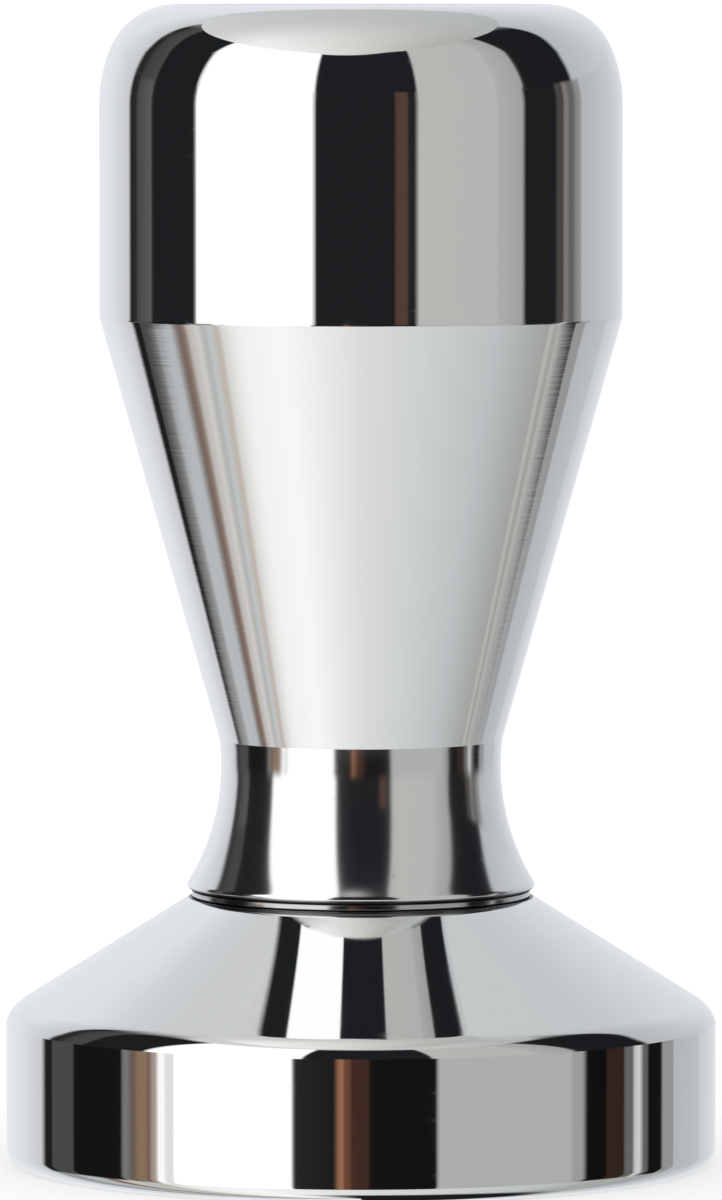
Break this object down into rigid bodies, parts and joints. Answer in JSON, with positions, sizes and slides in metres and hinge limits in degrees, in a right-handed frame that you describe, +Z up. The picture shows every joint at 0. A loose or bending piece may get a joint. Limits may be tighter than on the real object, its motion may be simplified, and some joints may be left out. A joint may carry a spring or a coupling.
{
  "type": "espresso tamper",
  "caption": "Turned metal espresso tamper: waisted mirror-polished handle screwed to a conical piston with a flat round tamping face.",
  "frame": {"origin": "centre of the flat tamping face, on which the tamper stands", "axes": "+Z up the tamper's axis, from the tamping face to the palm; X and Y are equivalent on this turned object"},
  "size_m": [0.051, 0.051, 0.0831],
  "materials": {
    "polished_steel": "turned and mirror-polished stainless steel, with faint concentric lathe lines",
    "handle_chrome": "turned aluminium, mirror-polished and chrome-plated",
    "seal_rubber": "matt black nitrile rubber",
    "stud_steel": "plain steel, dull, with a rolled thread"
  },
  "bodies": {
    "base": {"base": "polished_steel", "spacer_ring": "polished_steel"},
    "seal": {"seal_ring": "seal_rubber"},
    "handle": {"handle": "handle_chrome", "threaded_stud": "stud_steel"}
  },
  "joints": [
    {"name": "handle_lift", "type": "slide", "parent": "base", "child": "seal", "axis": [0, 0, 1], "range_m": [0, 0.01]},
    {"name": "handle_turn", "type": "hinge", "parent": "seal", "child": "handle", "pos_m": [0, 0, 0], "axis": [0, 0, 1], "range_deg": [0, 2880]}
  ],
  "couplings": [
    {"joint": "handle_turn", "follows": "handle_lift", "rad_per_m": 5026.5}
  ]
}
